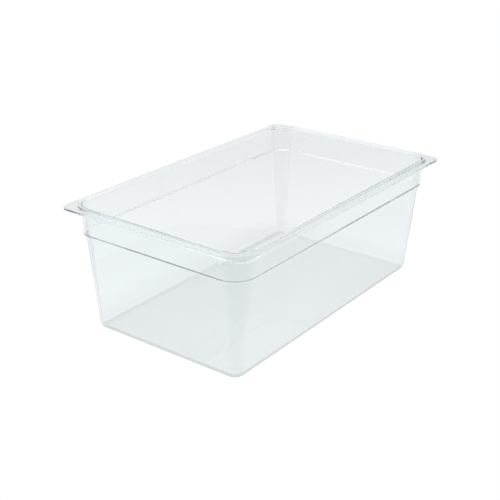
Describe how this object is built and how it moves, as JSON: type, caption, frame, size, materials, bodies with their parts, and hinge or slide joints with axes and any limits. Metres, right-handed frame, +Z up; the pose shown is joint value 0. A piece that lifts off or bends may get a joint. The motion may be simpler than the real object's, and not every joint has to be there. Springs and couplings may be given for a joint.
{
  "type": "food pan",
  "caption": "Deep rectangular clear plastic food pan with tapered walls, a stacking shoulder, a beaded rim and a flange with squared corners.",
  "frame": {"origin": "centre of the base's underside, at floor level", "axes": "+X along the length, +Y across the width, +Z up through the open mouth"},
  "size_m": [0.53, 0.325, 0.197],
  "materials": {
    "clear_polycarbonate": "clear moulded polycarbonate, polished faces, very faint cool grey tint"
  },
  "bodies": {
    "root": {"pan": "clear_polycarbonate"}
  },
  "joints": []
}
